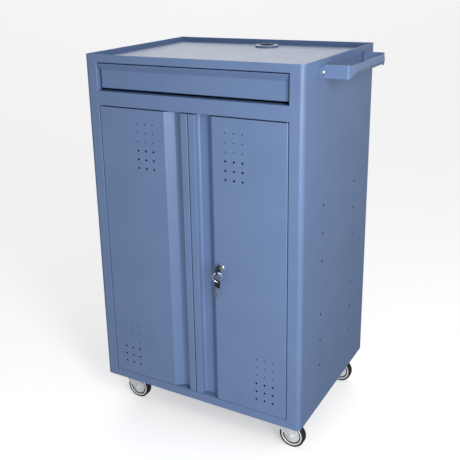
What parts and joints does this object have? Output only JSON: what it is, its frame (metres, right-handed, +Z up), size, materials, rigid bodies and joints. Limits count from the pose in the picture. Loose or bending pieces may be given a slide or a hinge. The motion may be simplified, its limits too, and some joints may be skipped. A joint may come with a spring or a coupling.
{
  "type": "cabinet trolley",
  "caption": "Sheet steel cabinet trolley with a recessed top, a drawer over two vented doors, a side push handle and swivel castors.",
  "frame": {"origin": "centre of the whole part's footprint, on the floor under the castors", "axes": "+Z up, the doors and drawer face -Y, the push handle is on the +X side"},
  "size_m": [0.728, 0.5411, 1.1],
  "materials": {
    "blue_paint": "satin powder coat",
    "zinc": "zinc plated",
    "steel": "plain",
    "chrome": "polished",
    "black_plastic": "fine grain",
    "hub_plastic": "moulded",
    "tyre": "matte",
    "grommet_metal": "satin"
  },
  "bodies": {
    "cabinet": {"side_panel_left": "blue_paint", "side_panel_right": "blue_paint", "back_panel": "blue_paint", "top_tray": "blue_paint", "top_rail": "blue_paint", "mid_rail": "blue_paint", "bottom_pan": "blue_paint", "cross_channel_front": "blue_paint", "cross_channel_rear": "blue_paint", "shelf": "blue_paint", "shelf_support_left_front": "blue_paint", "shelf_support_left_rear": "blue_paint", "shelf_support_right_front": "blue_paint", "shelf_support_right_rear": "blue_paint", "drawer_runner_left": "zinc", "drawer_runner_right": "zinc", "pivot_pin_left_top": "steel", "pivot_pin_left_bottom": "steel", "pivot_pin_right_top": "steel", "pivot_pin_right_bottom": "steel", "grommet_ring": "grommet_metal", "push_handle": "blue_paint", "handle_bolt_front": "chrome", "handle_bolt_rear": "chrome", "castor_plate_front_left": "zinc", "castor_plate_front_right": "zinc", "castor_plate_rear_left": "zinc", "castor_plate_rear_right": "zinc"},
    "drawer": {"drawer_front": "blue_paint", "drawer_box": "blue_paint", "drawer_slide_left": "zinc", "drawer_slide_right": "zinc"},
    "left_door": {"left_door": "blue_paint"},
    "right_door": {"right_door": "blue_paint", "lock_body": "chrome", "lock_nut": "zinc"},
    "lock_turn": {"lock_plug": "chrome", "lock_pinion": "zinc", "key_blade": "steel", "key_bow": "black_plastic"},
    "rod_top": {"lock_rod_top": "zinc"},
    "rod_bottom": {"lock_rod_bottom": "zinc"},
    "ring": {"key_ring": "steel"},
    "spare_key": {"spare_key_bow": "black_plastic", "spare_key_blade": "steel"},
    "grommet_cap": {"grommet_cap": "grommet_metal"},
    "swivel_front_left": {"castor_fork_front_left": "zinc"},
    "wheel_front_left": {"castor_hub_front_left": "hub_plastic", "castor_tyre_front_left": "tyre"},
    "swivel_front_right": {"castor_fork_front_right": "zinc"},
    "wheel_front_right": {"castor_hub_front_right": "hub_plastic", "castor_tyre_front_right": "tyre"},
    "swivel_rear_left": {"castor_fork_rear_left": "zinc"},
    "wheel_rear_left": {"castor_hub_rear_left": "hub_plastic", "castor_tyre_rear_left": "tyre"},
    "swivel_rear_right": {"castor_fork_rear_right": "zinc"},
    "wheel_rear_right": {"castor_hub_rear_right": "hub_plastic", "castor_tyre_rear_right": "tyre"}
  },
  "joints": [
    {"name": "drawer_slide", "type": "slide", "parent": "cabinet", "child": "drawer", "axis": [0, -1, 0], "range_m": [0, 0.33]},
    {"name": "left_door_hinge", "type": "hinge", "parent": "cabinet", "child": "left_door", "pos_m": [-0.3185, -0.235, 0.542], "axis": [0, 0, -1], "range_deg": [0, 100]},
    {"name": "right_door_hinge", "type": "hinge", "parent": "cabinet", "child": "right_door", "pos_m": [0.2465, -0.235, 0.542], "axis": [0, 0, 1], "range_deg": [0, 100]},
    {"name": "lock_turn", "type": "hinge", "parent": "right_door", "child": "lock_turn", "pos_m": [0.058, -0.2395, 0.543], "axis": [0, 1, 0], "range_deg": [0, 90]},
    {"name": "rod_top_slide", "type": "slide", "parent": "right_door", "child": "rod_top", "axis": [0, 0, 1], "range_m": [0, 0.0151]},
    {"name": "rod_bottom_slide", "type": "slide", "parent": "right_door", "child": "rod_bottom", "axis": [0, 0, -1], "range_m": [0, 0.0151]},
    {"name": "key_ring_swing", "type": "hinge", "parent": "lock_turn", "child": "ring", "pos_m": [0.058, -0.2637, 0.5361], "axis": [0.9063, 0.4226, 0], "range_deg": [-30, 5]},
    {"name": "spare_key_swing", "type": "hinge", "parent": "ring", "child": "spare_key", "pos_m": [0.058, -0.2637, 0.5106], "axis": [0.9063, 0.4226, 0], "range_deg": [-30, 5]},
    {"name": "grommet_cap_turn", "type": "hinge", "parent": "cabinet", "child": "grommet_cap", "pos_m": [-0.0153, 0.1955, 1.088], "axis": [0, 0, 1], "continuous": true},
    {"name": "swivel_front_left", "type": "hinge", "parent": "cabinet", "child": "swivel_front_left", "pos_m": [-0.304, -0.1745, 0.09], "axis": [0, 0, 1], "continuous": true},
    {"name": "roll_front_left", "type": "hinge", "parent": "swivel_front_left", "child": "wheel_front_left", "pos_m": [-0.291, -0.1745, 0.0375], "axis": [0, 1, 0], "continuous": true},
    {"name": "swivel_front_right", "type": "hinge", "parent": "cabinet", "child": "swivel_front_right", "pos_m": [0.232, -0.1745, 0.09], "axis": [0, 0, 1], "continuous": true},
    {"name": "roll_front_right", "type": "hinge", "parent": "swivel_front_right", "child": "wheel_front_right", "pos_m": [0.245, -0.1745, 0.0375], "axis": [0, 1, 0], "continuous": true},
    {"name": "swivel_rear_left", "type": "hinge", "parent": "cabinet", "child": "swivel_rear_left", "pos_m": [-0.304, 0.2135, 0.09], "axis": [0, 0, 1], "continuous": true},
    {"name": "roll_rear_left", "type": "hinge", "parent": "swivel_rear_left", "child": "wheel_rear_left", "pos_m": [-0.291, 0.2135, 0.0375], "axis": [0, 1, 0], "continuous": true},
    {"name": "swivel_rear_right", "type": "hinge", "parent": "cabinet", "child": "swivel_rear_right", "pos_m": [0.232, 0.2135, 0.09], "axis": [0, 0, 1], "continuous": true},
    {"name": "roll_rear_right", "type": "hinge", "parent": "swivel_rear_right", "child": "wheel_rear_right", "pos_m": [0.245, 0.2135, 0.0375], "axis": [0, 1, 0], "continuous": true}
  ],
  "couplings": [
    {"joint": "rod_top_slide", "follows": "lock_turn", "m_per_rad": 0.009549},
    {"joint": "rod_bottom_slide", "follows": "lock_turn", "m_per_rad": 0.009549}
  ]
}
